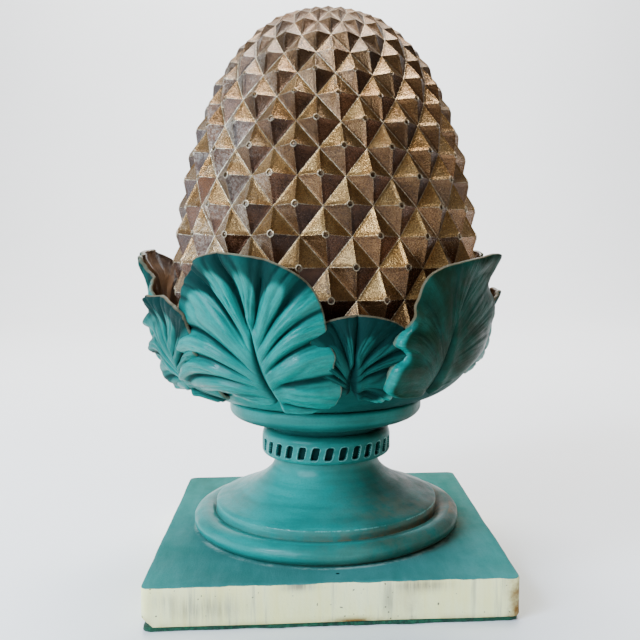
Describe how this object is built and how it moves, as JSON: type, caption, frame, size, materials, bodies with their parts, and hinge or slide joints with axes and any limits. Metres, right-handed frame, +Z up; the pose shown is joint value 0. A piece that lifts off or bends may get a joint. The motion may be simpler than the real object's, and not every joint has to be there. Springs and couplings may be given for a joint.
{
  "type": "pinecone finial",
  "caption": "Cast finial: a scaled pine cone in a calyx of pleated leaves, on a turned socle with a slotted ring and a square plinth with a felt pad.",
  "frame": {"origin": "centre of the felt's underside, where the finial stands", "axes": "+Z up, -Y towards the plinth's front face, +X to the right seen from the front"},
  "size_m": [0.2756, 0.277, 0.4326],
  "materials": {
    "teal_paint": "satin painted composition, lightly worn",
    "bronze_paint": "bronze-gold painted composition, satin",
    "cream_ground": "bare cream ground coat, stained",
    "green_felt": "thin green felt"
  },
  "bodies": {
    "root": {"finial_casting": "teal_paint", "felt_pad": "green_felt"}
  },
  "joints": []
}
